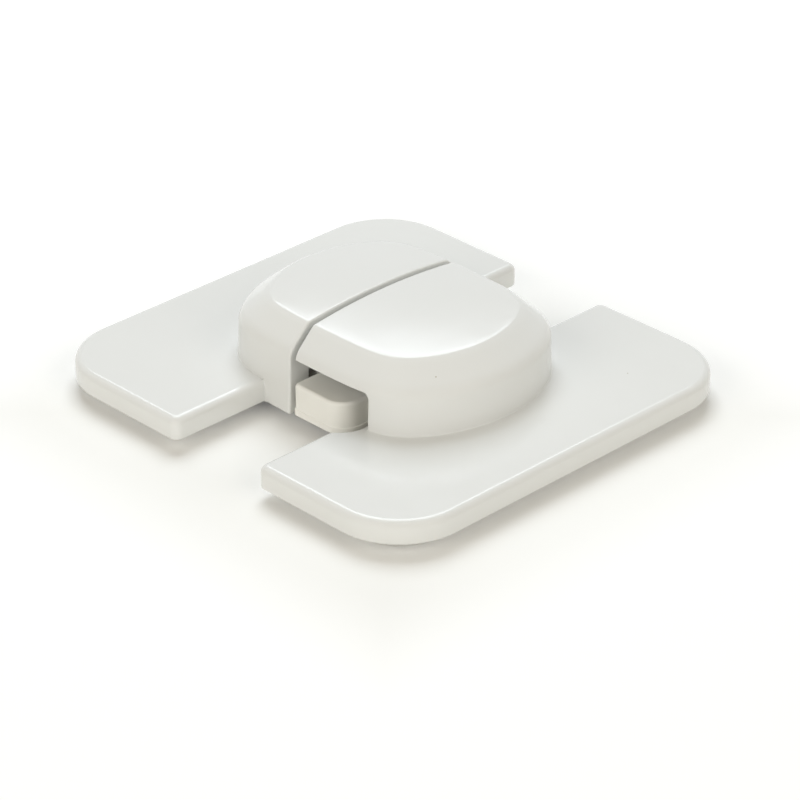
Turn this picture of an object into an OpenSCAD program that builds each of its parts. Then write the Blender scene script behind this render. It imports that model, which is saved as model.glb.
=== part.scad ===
// Two-part adhesive safety lock for a cabinet, drawer or refrigerator door.
// Millimetres, +Z up. The origin is the middle of the footprint, on the surface that the lock sticks to.
// +X runs from the strike half to the latch half, +Y runs along the seam between them.

/* [Halves] */
// Length over both halves, across the seam
overall_l = 85; // [80:1:100]
// Width of both wings, along the seam
overall_w = 80; // [70:1:100]
// Length of the strike half's wing plate
strike_wing_l = 33.4; // [30:0.1:36]
// Length of the latch half's wing plate
latch_wing_l = 32.1; // [28:0.1:33]
// Thickness of the wing plates
wing_t = 4; // [3:0.1:5]
// Radius of the wings' outer corners
wing_corner_r = 12.5; // [6:0.5:20]
// Radius of the wings' corners beside the gap
gap_corner_r = 1.6; // [1.5:0.1:4]
// Radius of the wings' rounded top edge
edge_r = 1.3; // [0.6:0.1:1.5]

/* [Dome] */
// Place of the dome's middle along X
dome_x = 0.6; // [0:0.1:1]
// Diameter of the dome at its foot
dome_d = 53.4; // [53:0.1:60]
// Width of the dome at its foot, across the two flat sides
dome_w = 41.4; // [41:0.1:46]
// Diameter of the top face
top_d = 43.2; // [40:0.1:46]
// Width of the top face, across the flat sides
top_w = 33; // [30:0.1:34]
// Height of the upright wall, from the wings' underside
wall_h = 11.5; // [11:0.1:13]
// Height of the top face's edge, from the wings' underside
dome_h = 15.3; // [15:0.1:18]
// Rise of the crowned top face
crown_h = 1.4; // [0.5:0.1:2.5]
// Lean of the upright wall over its height
draft = 0.4; // [0.2:0.1:0.8]
// How tightly the flat sides turn into the round ends
corner_power = 12; // [8:1:20]
// Wall thickness of both covers
shell_t = 2; // [1.6:0.1:2.2]

/* [Seam and windows] */
// Place of the seam's middle along X
seam_x = -2.4; // [-2.8:0.05:-2]
// Width of the seam
seam_gap = 1.1; // [0.8:0.1:1.5]
// Length of the button window, from the seam
window_l = 16.6; // [16:0.1:17.2]
// Height of the button window, from the wings' underside
window_h = 10.5; // [9.5:0.1:11]
// Radius of the window's upper corner
window_corner_r = 1.2; // [0.5:0.1:2]
// Radius of the finger scoop in the wing beside the button
scoop_r = 5.7; // [5:0.1:6.5]

/* [Button levers] */
// Length of the button
button_l = 12; // [11:0.1:12.2]
// Height of the button
button_h = 5.8; // [5.5:0.1:6.5]
// Height of the button's lower edge over the wings' underside
button_lift = 0.4; // [0.2:0.1:0.8]
// Radius of the button's free corner
button_corner_r = 4; // [2:0.5:4.5]
// Radius of the button's soft upper edge
button_edge_r = 0.8; // [0.3:0.1:0.8]
// Thickness of the lever's bar
bar_t = 2.2; // [1.8:0.1:2.4]
// Height of the hook's nose
nose_h = 1.6; // [1.4:0.1:1.8]
// Place of the pivots along X
pivot_x = 17.5; // [17:0.1:18]
// Outside diameter of the pivot knuckle
knuckle_d = 6; // [5:0.1:6.4]
// Diameter of the pivot pins
pivot_pin_d = 2.5; // [2:0.1:3]
// Swing of a lever from the drawn place out to its stop
latch_deg = 3.5; // [3:0.1:3.8]
// Swing of a lever from the drawn place in to its stop
press_deg = 5; // [4:0.1:5.2]

/* [Springs] */
// Outside diameter of the coil springs
spring_d = 4; // [3.6:0.1:4.2]
// Wire diameter of the coil springs
wire_d = 0.5; // [0.4:0.05:0.6]
// Turns of each spring
spring_turns = 6; // [5:1:8]

/* [Bases and fasteners] */
// Thickness of the base plates
base_t = 1.6; // [1.4:0.1:1.8]
// Diameter of the strike pins
strike_pin_d = 2; // [1.8:0.1:2.2]
// Room between a strike pin and the side wall
strike_pin_room = 1.1; // [0.9:0.1:1.3]
// Shank diameter of the screws
screw_d = 2; // [1.8:0.1:2.2]
// Head diameter of the screws
screw_head_d = 3.8; // [3.4:0.1:4]
// Length of the screws
screw_l = 8; // [6:0.5:9]

/* [Adhesive pads] */
// Thickness of the adhesive foam pads
pad_t = 2; // [1:0.1:3]
// Distance of a pad's edge from the wing's edge
pad_inset = 3; // [2:0.5:5]

/* [Clearances] */
// Room between moving pieces
run_clear = 0.3; // [0.2:0.05:0.4]
// Room round a pivot pin
pin_clear = 0.05; // [0.03:0.01:0.1]
// Room round a base plate in its cover
base_clear = 0.15; // [0.1:0.05:0.25]
// Room between a fixed pin or screw and its hole
seat_clear = 0.03; // [0.02:0.01:0.05]

/* [Hidden] */
$fn = 48;
// How far a cutting solid runs past what it cuts
cut = 1;

// Levels
under_z = pad_t;
wing_top_z = under_z + wing_t;
wall_top_z = under_z + wall_h;
edge_z = under_z + dome_h;
base_top_z = under_z + base_t;
lever_z = base_top_z + run_clear;
button_z = under_z + button_lift;
lever_top_z = button_z + button_h;
ceiling_z = edge_z - shell_t;
window_top_z = under_z + window_h;

// Ends of the halves
strike_x0 = -overall_l / 2;
strike_x1 = strike_x0 + strike_wing_l;
latch_x1 = overall_l / 2;
latch_x0 = latch_x1 - latch_wing_l;
strike_face_x = seam_x - seam_gap / 2;
latch_face_x = seam_x + seam_gap / 2;
strike_wall_x = strike_face_x - shell_t;
latch_wall_x = latch_face_x + shell_t;
window_x = latch_face_x + window_l;

// Dome outlines
dome_r = dome_d / 2;
dome_half_w = dome_w / 2;
top_r = top_d / 2;
top_half_w = top_w / 2;
inner_r = dome_r - shell_t;
inner_half_w = dome_half_w - shell_t;
ring_n = 72;

// Levers, worked out from the strike pins inwards
pin_wall_room = 0.9;
strike_pin_r = strike_pin_d / 2;
strike_pin_x = strike_wall_x - pin_wall_room - strike_pin_r;
strike_pin_y = inner_half_w - strike_pin_room - strike_pin_r;
nose_y = strike_pin_y - strike_pin_r - run_clear;
bar_out_y = nose_y - nose_h;
bar_in_y = bar_out_y - bar_t;
pivot_y = (bar_out_y + bar_in_y) / 2;
pivot_pin_r = pivot_pin_d / 2;
catch_x = strike_pin_x - strike_pin_r - run_clear;
nose_flat = 1;
nose_ramp = 2.6;
tip_x = catch_x - nose_flat - nose_ramp;
button_proud = 0.4;
button_inset = 0.1;
button_x0 = latch_face_x - button_proud;
button_x1 = button_x0 + button_l;
button_y = dome_half_w - button_inset;
button_wall = 1.5;
button_side_r = 0.9;

// How far the levers' inner faces come in when the buttons are pressed, and the room cut for them
latch_web_y = bar_in_y - (pivot_x - latch_face_x) * sin(press_deg) - run_clear;
strike_web_y = bar_in_y - (pivot_x - tip_x) * sin(press_deg) - run_clear;
notch_y = bar_out_y - (pivot_x - button_x0) * sin(press_deg) - run_clear;
notch_x = button_x1 + 4 * run_clear;
slot_top_z = lever_top_z + 2 * run_clear;
slot_room = 0.5;
slot_out_y = max(nose_y, bar_out_y + (pivot_x - strike_wall_x) * sin(latch_deg)) + run_clear + slot_room;

// Posts of the latch base that the levers' bars swing out against
stop_back = 2.4;
stop_l = 1.4;
stop_x = window_x - stop_back;
stop_clear = 0.1;
stop_y = bar_out_y + (pivot_x - stop_x + stop_l / 2) * sin(latch_deg) + stop_clear;

// Finger scoop, round a point under the button
scoop_back = 1.7;
scoop_in = 1.2;
scoop_x = button_x1 - scoop_back;
scoop_y = dome_half_w - scoop_in;

// Springs between the levers and the middle rib of the latch base
spring_shift = 1;
spring_x = (button_x0 + button_x1) / 2 + spring_shift;
spring_z = (lever_z + lever_top_z) / 2;
rib_half_t = 1.6;
rib_half_l = 2.8;
spigot_r = spring_d / 2 - wire_d - run_clear;
spigot_l = 1.2;
coil_r = (spring_d - wire_d) / 2;
coil_seat = 0.05;
coil_y0 = rib_half_t + wire_d / 2 + coil_seat;
coil_y1 = bar_in_y - wire_d / 2 - coil_seat;
coil_rings = 8;
coil_sides = 6;

// Fasteners
boss_r = 2.6;
boss_room = 1;
screw_r = screw_d / 2;
head_r = screw_head_d / 2;
head_h = head_r - screw_r;
hole_end = 0.5;
boss_lever_room = 2.4;
screw_to_pivot = 5;
latch_screw_x = pivot_x - screw_to_pivot;
latch_screw_y = bar_in_y - boss_r - boss_lever_room;
screw_to_end = 5.1;
strike_screw_x = dome_x - inner_r + screw_to_end;
strike_screw_y = 7.5;
latch_screw_at = [
  [latch_screw_x, -latch_screw_y], [latch_screw_x, latch_screw_y],
  [dome_x + inner_r - boss_r - boss_room, 0]
];
strike_screw_at = [
  [strike_screw_x, -strike_screw_y], [strike_screw_x, strike_screw_y],
  [strike_wall_x - boss_r - boss_room, 0]
];
knuckle_clear = 0.15;
pivot_boss_r = 2.8;
pivot_boss_z = lever_top_z + run_clear;
pin_seat = 3;
pin_floor = 0.3;
pin_foot_z = under_z + pin_floor;

// Outline of the dome at one level: a circle with two flat sides, blended where they meet
function ring_radius(r, half_w, a) =
  pow(pow(r, -corner_power) + pow(abs(sin(a)) / half_w, corner_power), -1 / corner_power);
function ring(r, half_w) = [
  for (i = [0 : ring_n - 1])
    let (a = i * 360 / ring_n)
    ring_radius(r, half_w, a) * [cos(a), sin(a)]
];
function at_level(outline, z) = [for (p = outline) [p[0], p[1], z]];
function mix(a, b, t) = a + (b - a) * t;
function bend(a, b, c, t) = mix(mix(a, b, t), mix(b, c, t), t);

// Stations of the dome's side, as [height, share of the way from the foot outline to the top outline],
// with a soft bend at the shoulder and another at the top face's edge
wall_foot = [under_z, 0];
wall_top = [wall_top_z, draft / (dome_r - top_r)];
top_edge = [edge_z, 1];
brow_rise = 0.3;
brow_share = 1.12;
crown_start = [edge_z + brow_rise, brow_share];
shoulder_low = mix(wall_top, wall_foot, 0.12);
shoulder_high = mix(wall_top, top_edge, 0.3);
brow_low = mix(top_edge, wall_top, 0.14);
dome_side = concat(
  [wall_foot],
  [for (t = [0 : 0.25 : 1]) bend(shoulder_low, wall_top, shoulder_high, t)],
  [for (t = [0 : 0.5 : 1]) bend(brow_low, top_edge, crown_start, t)]
);
function station(s) = at_level(ring(mix(dome_r, top_r, s[1]), mix(dome_half_w, top_half_w, s[1])), s[0]);

// Rings of the crowned top face, at k of its size
crown_r = mix(dome_r, top_r, crown_start[1]);
crown_half_w = mix(dome_half_w, top_half_w, crown_start[1]);
crown_rise = edge_z + crown_h - crown_start[0];
function crown_ring(k) =
  at_level(ring(crown_r * k, crown_half_w * k), crown_start[0] + crown_rise * (1 - k * k));

// The rear side's shape and its mirror image on the front side
module both_sides() {
  children();
  mirror([0, 1, 0]) children();
}

// Skin over a stack of rings with equal point counts, closed by flat ends
module loft(rings) {
  n = len(rings[0]);
  last = (len(rings) - 1) * n;
  sides = [for (j = [0 : len(rings) - 2], i = [0 : n - 1])
    let (a = j * n + i, b = j * n + (i + 1) % n)
    each [[a, a + n, b], [b, a + n, b + n]]];
  foot = [for (i = [1 : n - 2]) [0, i, i + 1]];
  lid = [for (i = [1 : n - 2]) [last, last + i + 1, last + i]];
  polyhedron([for (r = rings) each r], concat(foot, sides, lid), convexity = 6);
}

module dome_form() {
  translate([dome_x, 0, 0])
    loft(concat([for (s = dome_side) station(s)], [for (k = [0.8 : -0.2 : 0.15]) crown_ring(k)]));
}

// Hollow of the dome, one wall thickness inside it, with a flat ceiling
module dome_hollow() {
  translate([dome_x, 0, 0]) loft([
    at_level(ring(inner_r, inner_half_w), under_z - cut),
    at_level(ring(inner_r - draft, inner_half_w - draft), wall_top_z - shell_t / 2),
    at_level(ring(top_r - shell_t / 2, top_half_w - shell_t / 2), ceiling_z)
  ]);
}

// Everything beyond a plane across X, on its +X or -X side
module beyond(x, side) {
  reach = overall_l;
  translate([side > 0 ? x : x - reach, -reach, -cut]) cube([reach, 2 * reach, reach]);
}

module quarter(r) {
  intersection() {
    circle(r);
    square(r);
  }
}

// Rectangle with its own radius at each corner: [low x low y, high x low y, high x high y, low x high y]
module cornered(x0, x1, y0, y1, radii) {
  at = [[x0, y0, 1, 1], [x1, y0, -1, 1], [x1, y1, -1, -1], [x0, y1, 1, -1]];
  difference() {
    translate([x0, y0]) square([x1 - x0, y1 - y0]);
    for (i = [0 : 3]) if (radii[i] > 0)
      translate([at[i][0], at[i][1]]) scale([at[i][2], at[i][3]]) difference() {
        translate([-cut, -cut]) square(radii[i] + cut);
        translate([radii[i], radii[i]]) circle(radii[i]);
      }
  }
}

// Section of a plate's rim, rounded at its upper outer edge
module rim_section(band, t, edge) {
  square([band - edge, t]);
  square([band, t - edge]);
  translate([band - edge, t - edge]) quarter(edge);
}

// Plate whose rim section is swept along its four sides and round its four corners
module soft_plate(x0, x1, y0, y1, radii, band, t, edge) {
  at = [
    [x0 + radii[0], y0 + radii[0], 180], [x1 - radii[1], y0 + radii[1], 270],
    [x1 - radii[2], y1 - radii[2], 0], [x0 + radii[3], y1 - radii[3], 90]
  ];
  sides = [
    [x0 + radii[0], y0 + band, 180, x1 - x0 - radii[0] - radii[1]],
    [x1 - band, y0 + radii[1], 270, y1 - y0 - radii[1] - radii[2]],
    [x1 - radii[2], y1 - band, 0, x1 - x0 - radii[2] - radii[3]],
    [x0 + band, y1 - radii[3], 90, y1 - y0 - radii[3] - radii[0]]
  ];
  linear_extrude(t) cornered(x0 + band, x1 - band, y0 + band, y1 - band, [for (r = radii) r - band]);
  for (i = [0 : 3]) {
    translate([at[i][0], at[i][1], 0]) rotate([0, 0, at[i][2]])
      rotate_extrude(angle = 90) translate([radii[i] - band, 0]) rim_section(band, t, edge);
    translate([sides[i][0], sides[i][1], 0]) rotate([90, 0, sides[i][2] + 90])
      translate([0, 0, -sides[i][3]]) linear_extrude(sides[i][3]) rim_section(band, t, edge);
  }
}

// Wing plate of one half
module wing(x0, x1, radii) {
  translate([0, 0, under_z])
    soft_plate(x0, x1, -overall_w / 2, overall_w / 2, radii, gap_corner_r, wing_t, edge_r);
}

// Screws stand head down, flush with the underside of a base plate
module screws(places) {
  color("silver") for (p = places) translate([p[0], p[1], under_z]) {
    cylinder(h = head_h, r1 = head_r, r2 = screw_r);
    cylinder(h = screw_l, r = screw_r);
  }
}

module screw_holes(places) {
  hole_r = screw_r + seat_clear;
  for (p = places) translate([p[0], p[1], under_z]) {
    translate([0, 0, -cut]) cylinder(h = screw_l + cut + hole_end, r = hole_r);
    translate([0, 0, -seat_clear]) cylinder(h = head_h + seat_clear, r1 = head_r + seat_clear, r2 = hole_r);
  }
}

module screw_bosses(places) {
  for (p = places) translate([p[0], p[1], base_top_z]) cylinder(h = edge_z, r = boss_r);
}

module base_outline() {
  translate([dome_x, 0]) polygon(ring(inner_r - base_clear, inner_half_w - base_clear));
}

module latch_cover() {
  color("white") difference() {
    union() {
      wing(latch_x0, latch_x1, [gap_corner_r, wing_corner_r, wing_corner_r, gap_corner_r]);
      intersection() {
        dome_form();
        beyond(latch_face_x, 1);
      }
    }
    difference() {
      intersection() {
        dome_hollow();
        beyond(latch_wall_x, 1);
      }
      screw_bosses(latch_screw_at);
      both_sides() translate([pivot_x, pivot_y, pivot_boss_z]) cylinder(h = edge_z, r = pivot_boss_r);
    }
    screw_holes(latch_screw_at);
    both_sides() {
      translate([pivot_x, pivot_y, pivot_boss_z - cut])
        cylinder(h = pin_seat + cut + seat_clear, r = pivot_pin_r + seat_clear);
      translate([pivot_x, pivot_y, base_top_z])
        cylinder(h = pivot_boss_z - base_top_z, r = knuckle_d / 2 + knuckle_clear);
      button_window();
    }
  }
}

// Opening for the rear button: through the seam wall, through the side wall down to the gap between the
// wings, through the side wall over the wing, and the finger scoop
module button_window() {
  low_z = under_z - cut;
  low_h = window_top_z - low_z;
  side_t = shell_t + draft + cut;
  side_y = dome_half_w - shell_t - draft;
  translate([latch_face_x - cut, latch_web_y, low_z])
    cube([shell_t + cut, dome_half_w + cut - latch_web_y, low_h]);
  translate([latch_face_x - cut, side_y, low_z]) cube([latch_x0 - latch_face_x + cut, side_t, wing_t + cut]);
  translate([0, side_y + side_t, 0]) rotate([90, 0, 0]) linear_extrude(side_t)
    cornered(latch_face_x - cut, window_x, wing_top_z, window_top_z, [0, 0, window_corner_r, 0]);
  translate([scoop_x, scoop_y, low_z]) cylinder(h = wing_t + 2 * cut, r = scoop_r);
}

module strike_cover() {
  color("white") difference() {
    union() {
      wing(strike_x0, strike_x1, [wing_corner_r, gap_corner_r, gap_corner_r, wing_corner_r]);
      intersection() {
        dome_form();
        beyond(strike_face_x, -1);
      }
    }
    difference() {
      intersection() {
        dome_hollow();
        beyond(strike_wall_x, -1);
      }
      screw_bosses(strike_screw_at);
      both_sides() translate([strike_pin_x, strike_pin_y, slot_top_z]) cylinder(h = edge_z, r = strike_pin_d);
    }
    screw_holes(strike_screw_at);
    both_sides() {
      translate([strike_pin_x, strike_pin_y, slot_top_z - cut])
        cylinder(h = pin_seat + cut + seat_clear, r = strike_pin_r + seat_clear);
      translate([strike_wall_x - cut, strike_web_y, under_z - cut])
        cube([shell_t + 2 * cut, slot_out_y - strike_web_y, slot_top_z - under_z + cut]);
    }
  }
}

// Floor of the latch half, with the spring rib, the lever stops and cut-outs under the buttons
module latch_base() {
  post_h = lever_top_z - under_z;
  color("whitesmoke") difference() {
    union() {
      translate([0, 0, under_z]) linear_extrude(base_t) difference() {
        intersection() {
          base_outline();
          translate([latch_wall_x + base_clear, -dome_r]) square(2 * dome_r);
        }
        both_sides() translate([latch_face_x, notch_y]) square([notch_x - latch_face_x, dome_r]);
      }
      translate([spring_x - rib_half_l, -rib_half_t, under_z]) cube([2 * rib_half_l, 2 * rib_half_t, post_h]);
      both_sides() {
        translate([spring_x, rib_half_t, spring_z]) rotate([-90, 0, 0]) cylinder(h = spigot_l, r = spigot_r);
        translate([stop_x - stop_l / 2, stop_y, under_z]) cube([stop_l, stop_l, post_h]);
      }
    }
    screw_holes(latch_screw_at);
    both_sides() translate([pivot_x, pivot_y, pin_foot_z]) cylinder(h = base_t, r = pivot_pin_r + seat_clear);
  }
}

module strike_base() {
  color("whitesmoke") difference() {
    translate([0, 0, under_z]) linear_extrude(base_t) intersection() {
      base_outline();
      translate([strike_wall_x - base_clear - 2 * dome_r, -dome_r]) square(2 * dome_r);
    }
    screw_holes(strike_screw_at);
    both_sides() translate([strike_pin_x, strike_pin_y, pin_foot_z])
      cylinder(h = base_t, r = strike_pin_r + seat_clear);
  }
}

// Rear lever: button, bar, hook and knuckle in one piece
module lever() {
  color("white") difference() {
    union() {
      translate([0, 0, button_z]) soft_plate(
        button_x0, button_x1, bar_in_y, button_y,
        [button_side_r, button_side_r, button_corner_r, button_side_r],
        button_side_r, button_h, button_edge_r
      );
      translate([0, 0, lever_z]) linear_extrude(lever_top_z - lever_z) {
        translate([catch_x, bar_in_y]) square([pivot_x - catch_x, bar_t]);
        translate([pivot_x, pivot_y]) circle(d = knuckle_d);
        polygon([
          [catch_x, bar_in_y], [catch_x, nose_y], [catch_x - nose_flat, nose_y],
          [tip_x, bar_out_y], [tip_x, bar_in_y]
        ]);
      }
      translate([spring_x, bar_in_y, spring_z]) rotate([90, 0, 0]) cylinder(h = spigot_l, r = spigot_r);
    }
    translate([pivot_x, pivot_y, lever_z - cut])
      cylinder(h = button_h + 2 * cut, r = pivot_pin_r + pin_clear);
    button_core();
  }
}

// Hollow under the button, open below, so that its walls stay even, and the bar's underside
module button_core() {
  translate([0, 0, button_z - cut]) linear_extrude(button_h - button_wall + cut) cornered(
    button_x0 + button_wall, button_x1 - button_wall, bar_out_y, button_y - button_wall,
    [0, 0, button_corner_r - button_wall, 0]
  );
  translate([button_x0 - cut, bar_in_y - cut, button_z - cut])
    cube([button_l + 2 * cut, bar_t + cut, lever_z - button_z + cut]);
}

module front_button_lever() {
  mirror([0, 1, 0]) lever();
}

module rear_button_lever() {
  lever();
}

module pivot_pin() {
  color("silver") translate([pivot_x, pivot_y, pin_foot_z])
    cylinder(h = pivot_boss_z + pin_seat - pin_foot_z, r = pivot_pin_r);
}

module front_pivot_pin() {
  mirror([0, 1, 0]) pivot_pin();
}

module rear_pivot_pin() {
  pivot_pin();
}

module strike_pin() {
  color("silver") translate([strike_pin_x, strike_pin_y, pin_foot_z])
    cylinder(h = slot_top_z + pin_seat - pin_foot_z, r = strike_pin_r);
}

module front_strike_pin() {
  mirror([0, 1, 0]) strike_pin();
}

module rear_strike_pin() {
  strike_pin();
}

// Coil along Y: points of the wire's middle line, and a skin of rings round them
coil_steps = spring_turns * coil_rings;
coil_line = [for (i = [0 : coil_steps]) let (a = i * 360 / coil_rings)
  [coil_r * cos(a), mix(coil_y0, coil_y1, i / coil_steps), coil_r * sin(a)]];
coil_gap = min([for (i = [0 : coil_steps - coil_rings], j = [i + coil_rings / 2 : coil_steps])
  norm(coil_line[i] - coil_line[j])]) - wire_d;
echo(coil_gap = coil_gap);
module spring() {
  out = [for (i = [0 : coil_steps]) let (a = i * 360 / coil_rings) [cos(a), 0, sin(a)]];
  rings = [for (i = [0 : coil_steps]) [
    for (k = [0 : coil_sides - 1])
      let (b = k * 360 / coil_sides)
      coil_line[i] + wire_d / 2 * (cos(b) * out[i] + sin(b) * [0, 1, 0])
  ]];
  color("silver") translate([spring_x, 0, spring_z]) loft(rings);
}

module front_spring() {
  mirror([0, 1, 0]) spring();
}

module rear_spring() {
  spring();
}

module latch_screws() {
  screws(latch_screw_at);
}

module strike_screws() {
  screws(strike_screw_at);
}

// Adhesive pad under a wing, inset from its edge all round
pad_corner_r = wing_corner_r - pad_inset;
module pad(x0, x1, radii) {
  half_w = overall_w / 2 - pad_inset;
  color("gainsboro") linear_extrude(pad_t) cornered(x0 + pad_inset, x1 - pad_inset, -half_w, half_w, radii);
}

module latch_pad() {
  pad(latch_x0, latch_x1, [gap_corner_r, pad_corner_r, pad_corner_r, gap_corner_r]);
}

module strike_pad() {
  pad(strike_x0, strike_x1, [pad_corner_r, gap_corner_r, gap_corner_r, pad_corner_r]);
}

latch_cover();
latch_base();
front_button_lever();
rear_button_lever();
front_pivot_pin();
rear_pivot_pin();
front_spring();
rear_spring();
latch_screws();
latch_pad();
strike_cover();
strike_base();
front_strike_pin();
rear_strike_pin();
strike_screws();
strike_pad();
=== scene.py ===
# %% [markdown]
# # A two-part safety lock for a cabinet door
# The lock is two white mouldings: one sticks to the door, the other to the frame beside it. Side by
# side they make one low dome, and a button on each side of the dome frees two hooks inside.
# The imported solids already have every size. Gloss shows each flat facet, though, so this lesson makes
# the moulded pieces again with finer curves and softened edges, and gives each piece its own finish.

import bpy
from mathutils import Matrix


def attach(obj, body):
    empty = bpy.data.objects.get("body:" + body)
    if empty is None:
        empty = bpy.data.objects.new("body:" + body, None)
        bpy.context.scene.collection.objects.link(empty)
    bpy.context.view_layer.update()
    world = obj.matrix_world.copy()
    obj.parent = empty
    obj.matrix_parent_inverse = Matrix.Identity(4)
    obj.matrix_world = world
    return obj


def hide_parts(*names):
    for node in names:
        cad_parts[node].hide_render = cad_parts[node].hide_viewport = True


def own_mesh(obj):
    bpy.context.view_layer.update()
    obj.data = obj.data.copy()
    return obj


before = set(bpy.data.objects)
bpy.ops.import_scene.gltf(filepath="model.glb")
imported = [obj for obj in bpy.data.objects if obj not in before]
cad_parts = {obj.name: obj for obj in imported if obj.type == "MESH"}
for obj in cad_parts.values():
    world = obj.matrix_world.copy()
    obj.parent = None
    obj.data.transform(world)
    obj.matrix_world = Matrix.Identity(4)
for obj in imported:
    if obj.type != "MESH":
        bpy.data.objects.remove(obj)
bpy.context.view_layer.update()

# %% [markdown]
# ## The camera
# The photograph looks down at about 29 degrees over one corner of the lock, through a long lens. A long
# lens is a narrow angle of view, so the camera stands more than half a metre away and the edges stay
# almost parallel. Azimuth and elevation are turned into a place on a sphere round a point in the lock,
# which is easier to correct than three separate coordinates.

# %% Place and aim the camera
import math
import bpy
from mathutils import Matrix, Vector

LOOK_AT = Vector((0.01005, -0.00789, 0.005))


def round_the_lock(azimuth, elevation, distance):
    """Place on a sphere round the point that the camera looks at."""
    a, e = math.radians(azimuth), math.radians(elevation)
    back = Vector((math.sin(a) * math.cos(e), -math.cos(a) * math.cos(e), math.sin(e)))
    return LOOK_AT + distance * back


def aim(obj):
    """Turn a camera or lamp so that its -Z axis points at the lock."""
    obj.rotation_euler = (LOOK_AT - obj.location).to_track_quat("-Z", "Y").to_euler()


def put_in_scene(name, data):
    """New object with this data, linked to the scene."""
    obj = bpy.data.objects.new(name, data)
    bpy.context.scene.collection.objects.link(obj)
    return obj


camera = put_in_scene("camera", bpy.data.cameras.new("camera"))
camera.location = round_the_lock(azimuth=45.65, elevation=29.34, distance=0.567)
aim(camera)
camera.data.sensor_fit = "HORIZONTAL"
camera.data.sensor_width = 36
camera.data.lens = 155.46
camera.data.clip_start = 0.01
bpy.context.scene.camera = camera
bpy.context.scene.view_settings.view_transform = "Standard"
print("camera at", [round(c, 3) for c in camera.location])

# %% [markdown]
# ## The light
# The photograph has a soft, even studio light. A bright patch lies on the dome where its top begins to
# slope, and short shadows fall towards the viewer: both come from a large, slightly cool box high behind
# the lock. The walls on the near side have one even tone and no reflection, and light falls through the
# window on the button. So two low boxes, one facing the window and one at the right, light them softly
# and are kept out of the gloss. The surroundings are a little warmer than the lamps, which is why shaded
# places look warm. The lamps stay at a plain level: a colour renders about as written.

# %% Lamps
def soft_box(name, azimuth, elevation, distance, size, watts, color):
    """Square area lamp that faces the lock."""
    lamp = put_in_scene(name, bpy.data.lights.new(name, "AREA"))
    lamp.data.size = size
    lamp.data.energy = watts
    lamp.data.color = color
    lamp.location = round_the_lock(azimuth, elevation, distance)
    aim(lamp)
    return lamp


WARM, COOL = (1, 0.98, 0.94), (0.87, 0.935, 1)
window_box = soft_box("window_box", azimuth=4, elevation=24, distance=0.8, size=0.6, watts=2.45, color=WARM)
side_box = soft_box("side_box", azimuth=90, elevation=28, distance=0.8, size=0.6, watts=1.95, color=WARM)
for low_box in (window_box, side_box):
    low_box.visible_glossy = False
soft_box("back_box", azimuth=229, elevation=56, distance=0.75, size=0.5, watts=3.6, color=COOL)

# %% White surroundings
def math_of(tree, operation, first, second=0.0):
    """One maths node; each side is a number or a socket."""
    node = tree.nodes.new("ShaderNodeMath")
    node.operation = operation
    for side, value in enumerate((first, second)):
        if isinstance(value, (int, float)):
            node.inputs[side].default_value = value
        else:
            tree.links.new(value, node.inputs[side])
    return node.outputs[0]


def background_rays(tree):
    """1 for the rays that see the background straight, in a mirror or through glass, else 0."""
    path = tree.nodes.new("ShaderNodeLightPath")
    seen = path.outputs["Is Camera Ray"]
    for ray in ("Is Glossy Ray", "Is Transmission Ray"):
        seen = math_of(tree, "MAXIMUM", seen, path.outputs[ray])
    return seen


world = bpy.data.worlds.new("white_surroundings")
world.use_nodes = True
bpy.context.scene.world = world
tree = world.node_tree
room = tree.nodes["Background"]
room.inputs["Color"].default_value = (1, 0.9, 0.68, 1)
room.inputs["Strength"].default_value = 0.24
backdrop = tree.nodes.new("ShaderNodeBackground")
backdrop.inputs["Color"].default_value = (1, 1, 1, 1)
chosen = tree.nodes.new("ShaderNodeMixShader")
tree.links.new(background_rays(tree), chosen.inputs[0])
tree.links.new(room.outputs[0], chosen.inputs[1])
tree.links.new(backdrop.outputs[0], chosen.inputs[2])
tree.links.new(chosen.outputs[0], tree.nodes["World Output"].inputs["Surface"])
print("surroundings:", len(tree.nodes), "nodes")

# %% [markdown]
# ## The floor
# The lock lies on a plain white sheet, which keeps only a short, slightly warm shadow round it. A white
# sheet under a plain lamp is not quite white in the picture, so for the rays that the camera sees
# the floor adds a small cool glow of its own. The glow grows with the distance from the lock: close by it is
# weak, which paints a darker, warm shade round the lock on top of its real shadow, and further out the
# sheet is plain white. The middle of that painted shade lies a little towards the viewer, as the shadow does.

# %% Floor sheet
import bmesh

SHADOW_SHIFT = 0.006
# Glow near and far from the lock: the weak glow near it is a painted shade round the lock.
PAINTED_SHADE_FADE = {"From Min": 0.035, "From Max": 0.062, "To Min": 0.06, "To Max": 0.21}

floor_with_painted_shade = bpy.data.materials.new("floor_sheet_with_painted_shade")
floor_with_painted_shade.use_nodes = True
tree = floor_with_painted_shade.node_tree
tree.nodes.remove(tree.nodes["Principled BSDF"])
sheet = tree.nodes.new("ShaderNodeBsdfDiffuse")
sheet.inputs["Color"].default_value = (0.96, 0.955, 0.93, 1)
glow = tree.nodes.new("ShaderNodeEmission")
glow.inputs["Color"].default_value = (0.85, 0.88, 1, 1)
place = tree.nodes.new("ShaderNodeTexCoord")
shift = tree.nodes.new("ShaderNodeMapping")
shift.inputs["Location"].default_value = (-SHADOW_SHIFT, SHADOW_SHIFT, 0)
axes = tree.nodes.new("ShaderNodeSeparateXYZ")
tree.links.new(place.outputs["Object"], shift.inputs["Vector"])
tree.links.new(shift.outputs["Vector"], axes.inputs[0])
along, across = [math_of(tree, "ABSOLUTE", axes.outputs[axis]) for axis in ("X", "Y")]
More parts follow.
